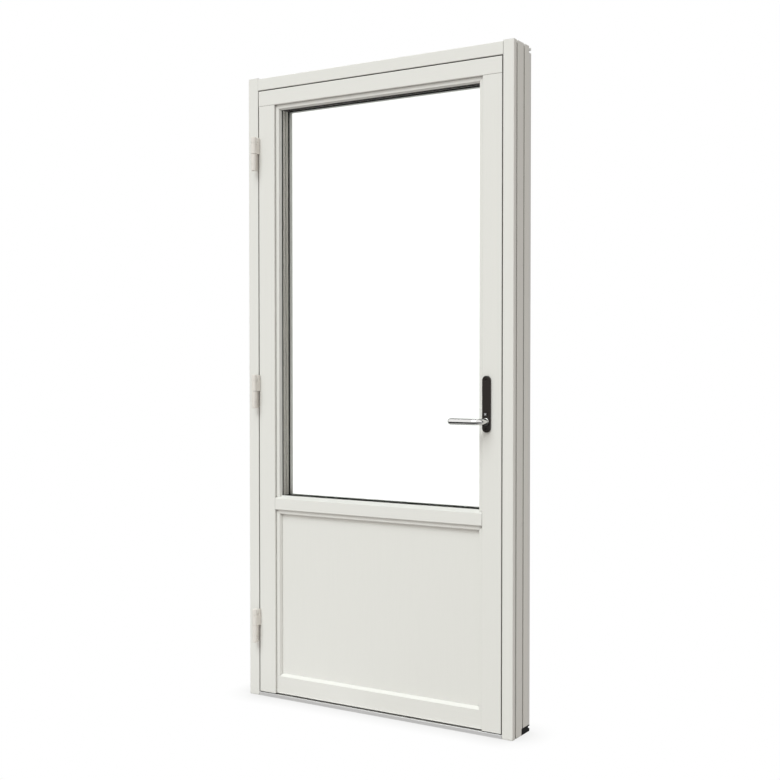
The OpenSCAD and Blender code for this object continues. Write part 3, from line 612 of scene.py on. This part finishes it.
def pierced_bar(name):
    """Warm-edge spacer: matt grey with rows of dark holes 3 mm apart, and painted deep shade where it is
    level.
    """
    mat, tree, shader = new_material(name)
    place = add_node(tree, "ShaderNodeTexCoord")
    dots = add_node(tree, "ShaderNodeTexVoronoi", inputs={"Scale": 330.0, "Randomness": 0.0},
                    links={"Vector": place.outputs["Object"]})
    tone = add_node(tree, "ShaderNodeValToRGB", links={"Fac": dots.outputs["Distance"]})
    tone.color_ramp.elements[0].position = 0.16
    tone.color_ramp.elements[0].color = linear("5E5B56")
    tone.color_ramp.elements[1].position = 0.2
    tone.color_ramp.elements[1].color = linear("C4BFB7")
    # Painted shade: faces that point up or down are coloured near black, as the level bars look in the
    # cavity's shade
    facing = add_node(tree, "ShaderNodeSeparateXYZ",
                      links={"Vector": add_node(tree, "ShaderNodeNewGeometry").outputs["True Normal"]})
    level = add_node(tree, "ShaderNodeMath", {"operation": "ABSOLUTE"}, links={"Value": facing.outputs["Z"]})
    painted_level_shade = mixed(tree, level.outputs[0], tone.outputs[0], linear("0A0A09"))
    tree.links.new(painted_level_shade, shader.inputs["Base Color"])
    shader.inputs["Roughness"].default_value = 0.6
    shader.inputs["Specular IOR Level"].default_value = 0.1
    return mat


spacer_grey = pierced_bar("warm_edge_spacer_bar")
bar_high, bar_near, bar_far, bar_round = 0.0089, 0.0001, 0.0119, 0.0012
for name, pane_y, node in (("spacer_room_side", -0.031, "spacer_inner"),
                           ("spacer_outdoor_side", -0.015, "spacer_outer")):
    near, far = pane_y + bar_near, pane_y + bar_far
    section = rounded([(0.0, near), (bar_high, near), (bar_high, far), (0.0, far)], bar_round)
    stand_for(round_the_glass(name, spacer_grey, bar_high, section), "sash", "spacer_grey", node)


# ---- Painted timber of the sash ----
# Stiles and rails meet in fine butt lines; beads are mitred at the top and scribed over the rails' slopes
# below. The panel is the same paint, smoother, as on a facing board.

painted("sash", upright_paint, timber_edge, 0.012, "stile_hinge_side", "stile_lock_side")
painted("sash", level_paint, timber_edge, 0.012, "top_rail", "mid_rail", "bottom_rail")
painted("sash", upright_paint, bead_edge, 0.003, "glazing_bead_left", "glazing_bead_right",
        "panel_bead_left", "panel_bead_right")
painted("sash", level_paint, bead_edge, 0.003, "glazing_bead_top", "panel_bead_top")
panel_paint = satin_paint("satin_white_paint_on_facing_board", "z")
painted("sash", panel_paint, 0.0008, 0, "lower_panel")

block_black = plain_coat("moulded_setting_block", "1C1C1C", 0.6)
stand_for(eased_copy("setting_blocks", "glass_setting_blocks", block_black, 0.0006), "sash",
          "black_composite", "setting_blocks")


# ---- Glass ----
# Three clear float panes with ground edges, nearly colourless. Their refractive index is set low, so that
# no veil of the room lies over the dark gaskets and spacers behind them.

glass_mat, glass_tree, glass_shader = new_material("clear_float_glass")
glass_place = add_node(glass_tree, "ShaderNodeTexCoord")
haze = add_node(glass_tree, "ShaderNodeTexNoise", inputs={"Scale": 6.0, "Detail": 2.0},
                links={"Vector": glass_place.outputs["Object"]})
haze_level = add_node(glass_tree, "ShaderNodeMapRange", inputs={"To Min": 0.0, "To Max": 0.006},
                      links={"Value": haze.outputs[0]})
glass_tree.links.new(haze_level.outputs[0], glass_shader.inputs["Roughness"])
glass_shader.inputs["Base Color"].default_value = linear("FEFFFE")
glass_shader.inputs["Transmission Weight"].default_value = 1.0
glass_shader.inputs["IOR"].default_value = 1.1
for node in ("glass_inner", "glass_middle", "glass_outer"):
    stand_for(eased_copy(node, node + "_float", glass_mat, 0.0004), "sash", "clear_glass", node)


# ---- Hinges ----
# Off-white enamelled lift-off hinges: each barrel is two knuckles with a fine joint between them, and a
# long cap with a domed end above and below. Pins, screws and the lock's hidden parts are zinc-plated.

enamel = plain_coat("off_white_enamel", "E6E1DA", 0.32, specular=0.5)
zinc = plain_coat("bright_zinc_plated_steel", "C6C7C9", 0.3, speck=0.05, metallic=1.0)
hinge_x, hinge_y = -0.457, -0.079
hinge_heights = (0.240, 1.030, 1.824)
knuckle, knuckle_edge = 0.035, 0.0008
for number in (1, 2, 3):
    for body in ("frame", "sash"):
        node = "hinge_%s_leaf_%d" % (body, number)
        stand_for(eased_copy(node, node + "_enamelled", enamel, knuckle_edge), body, "white_enamel", node)

cap_profile = [(0.0, 0.0003, 0), (0.0080, 0.0003, 0), (0.0086, 0.0006, 0), (0.0090, 0.0013, 0),
               (0.0090, 0.0190, 0), (0.0087, 0.0203, 0), (0.0078, 0.0213, 0), (0.0060, 0.0218, 0),
               (0.0, 0.0220, 0)]
upper_caps = turned("hinge_upper_caps_domed", enamel, cap_profile,
                    [(hinge_x, hinge_y, z + knuckle) for z in hinge_heights], (0, 0, 1))
stand_for(upper_caps, "sash", "white_enamel", "hinge_upper_caps")
lower_caps = turned("hinge_lower_caps_domed", enamel, cap_profile,
                    [(hinge_x, hinge_y, z - knuckle) for z in hinge_heights], (0, 0, -1))
stand_for(lower_caps, "frame", "white_enamel", "hinge_lower_caps")

for node in ("hinge_pins", "hinge_frame_screws", "hinge_sash_screws", "strike_screws", "gearbox_case",
             "gearbox_hub", "handle_spindle"):
    nodes[node].material_slots[0].material = zinc

# Zinc heads, shallow domes with a four-armed recess, for every screw that can be seen
head_profile = [(0.0, -0.0006, 0), (0.0042, -0.0004, 0), (0.0041, 0.0002, 0), (0.0034, 0.0007, 0),
                (0.0021, 0.0009, 0.0), (0.0019, 0.0008, 0.18), (0.0015, -0.0003, 0.18), (0.0, -0.0003, 0)]
leaf_y, leaf_screws = -0.037, (0.008, 0.027)


def screw_heads(name, body, x, y, heights, facing):
    """A row of screw heads that face along X."""
    heads = turned(name, zinc, head_profile, [(x, y, z) for z in heights], (facing, 0, 0), turns=36, lobes=4)
    stand_for(heads, body, "zinc_steel")


screw_heads("hinge_frame_screw_heads", "frame", -0.4551, leaf_y,
            [z - down for z in hinge_heights for down in leaf_screws], 1)
screw_heads("hinge_sash_screw_heads", "sash", -0.4511, leaf_y,
            [z + up for z in hinge_heights for up in leaf_screws], -1)


# ---- Lock ----
# Zinc-plated steel: a faceplate screwed into the sash's edge, rods whose round bolts run in its slots, and
# strikes with a lip screwed to the jamb.

for node, body in (("lock_faceplate", "sash"), ("upper_rod", "upper_bolts"), ("lower_rod", "lower_bolts"),
                   ("strike_plates", "frame")):
    stand_for(eased_copy(node, node + "_plated", zinc, 0.0003), body, "zinc_steel", node)
lock_y, strike_screw = -0.007, 0.038
faceplate_screws = (0.045, 0.40, 0.62, 1.10, 1.45, 1.65, 2.005)
bolt_heights = (0.2497, 0.800, 1.280, 1.7995)
screw_heads("lock_faceplate_screws", "sash", 0.4469, lock_y, faceplate_screws, 1)
screw_heads("strike_plate_screw_heads", "frame", 0.4591, lock_y,
            [z + away for z in bolt_heights for away in (-strike_screw, strike_screw)], -1)


# ---- Handle ----
# A dark brown-black coated plate with a soft rim, two screws with six-armed recesses, a push button with
# a raised cross for grip, and a polished round-bar lever that bends once and ends in a dome.

bronze = plain_coat("dark_brown_satin_coat", "201A16", 0.34, speck=0.08, specular=0.3)
chrome, chrome_tree, chrome_shader = new_material("polished_chrome")
chrome_place = add_node(chrome_tree, "ShaderNodeTexCoord")
wear = add_node(chrome_tree, "ShaderNodeTexNoise", inputs={"Scale": 120.0, "Detail": 3.0},
                links={"Vector": chrome_place.outputs["Object"]})
wear_level = add_node(chrome_tree, "ShaderNodeMapRange", inputs={"To Min": 0.07, "To Max": 0.14},
                      links={"Value": wear.outputs[0]})
chrome_tree.links.new(wear_level.outputs[0], chrome_shader.inputs["Roughness"])
chrome_shader.inputs["Base Color"].default_value = linear("E9E8E6")
chrome_shader.inputs["Metallic"].default_value = 1.0

stand_for(eased_copy("handle_plate", "handle_plate_coated", bronze, 0.0006), "sash", "dark_bronze",
          "handle_plate")
lever_x, lever_z, plate_y = 0.408, 0.950, -0.067
screw_heights, button_z = (0.928, 1.076), 0.972
screw_profile = [(0.0, -0.0030, 0), (0.0044, -0.0030, 0), (0.0044, -0.0010, 0), (0.0040, -0.0005, 0),
                 (0.0026, -0.0004, 0), (0.0024, -0.0006, 0.16), (0.0020, -0.0024, 0.16), (0.0, -0.0024, 0)]
plate_screws = turned("handle_plate_screws", bronze, screw_profile,
                      [(lever_x, plate_y, z) for z in screw_heights], (0, -1, 0), turns=48, lobes=6)
stand_for(plate_screws, "sash", "dark_bronze", "handle_screws")
button_profile = [(0.0, -0.0048, 0), (0.0049, -0.0048, 0), (0.0050, 0.0020, 0), (0.0047, 0.0026, 0),
                  (0.0040, 0.0028, 0), (0.0, 0.0028, 0)]
button = turned("round_push_button", bronze, button_profile, [(lever_x, plate_y, button_z)], (0, -1, 0))
stand_for(button, "button", "dark_bronze", "safety_button")
grip_profile = [(0.0, 0.0024, 0), (0.0033, 0.0024, 0.48), (0.0033, 0.0031, 0.48), (0.0030, 0.0035, 0.48),
                (0.0, 0.0035, 0)]
grip = turned("button_cross_grip", zinc, grip_profile, [(lever_x, plate_y, button_z)], (0, -1, 0), turns=64,
              lobes=4)
stand_for(grip, "button", "zinc_steel")


# The lever's bar is an open ring drawn out from the plate, spun round the elbow, drawn along the grip
# and narrowed step by step to its domed end
bar_r, elbow, grip_y, tip_x, inside_y = 0.0095, 0.024, -0.110, 0.303, -0.0605
elbow_steps, dome_steps = 24, 12
bpy.ops.object.select_all(action="DESELECT")
bpy.ops.mesh.primitive_circle_add(vertices=40, radius=bar_r, fill_type="NOTHING",
                                  location=(lever_x, inside_y, lever_z), rotation=(math.pi / 2, 0, 0))
lever = bpy.context.object
bpy.ops.object.transform_apply(location=True, rotation=True, scale=True)
bpy.ops.object.mode_set(mode="EDIT")
bpy.ops.mesh.select_mode(type="EDGE")
bpy.ops.mesh.select_all(action="SELECT")
bpy.ops.mesh.extrude_region_move(TRANSFORM_OT_translate={"value": (0, grip_y + elbow - inside_y, 0)})
bpy.ops.mesh.spin(steps=elbow_steps, angle=math.pi / 2, center=(lever_x - elbow, grip_y + elbow, lever_z),
                  axis=(0, 0, 1))
bpy.ops.mesh.extrude_region_move(TRANSFORM_OT_translate={"value": (tip_x + bar_r - lever_x + elbow, 0, 0)})
for step in range(1, dome_steps + 1):
    angle = math.pi / 2 * step / dome_steps
    before = math.pi / 2 * (step - 1) / dome_steps
    along = bar_r * (math.sin(before) - math.sin(angle))
    narrower = max(math.cos(angle), 0.03) / math.cos(before)
    bpy.ops.mesh.extrude_region_move(TRANSFORM_OT_translate={"value": (along, 0, 0)})
    bpy.ops.transform.resize(value=(1, narrower, narrower), center_override=(0, grip_y, lever_z))
bpy.ops.mesh.select_all(action="SELECT")
bpy.ops.mesh.fill_holes(sides=0)
bpy.ops.object.mode_set(mode="OBJECT")
stand_for(finished(lever, "round_bar_lever", chrome, 50), "handle", "polished_chrome", "handle_lever")
collar_profile = [(0.0, -0.0074, 0), (0.0105, -0.0074, 0), (0.0105, 0.0022, 0), (0.0102, 0.0027, 0),
                  (0.0096, 0.0030, 0), (0.0, 0.0030, 0)]
stand_for(turned("lever_collar", chrome, collar_profile, [(lever_x, plate_y, lever_z)], (0, -1, 0)),
          "handle", "polished_chrome")
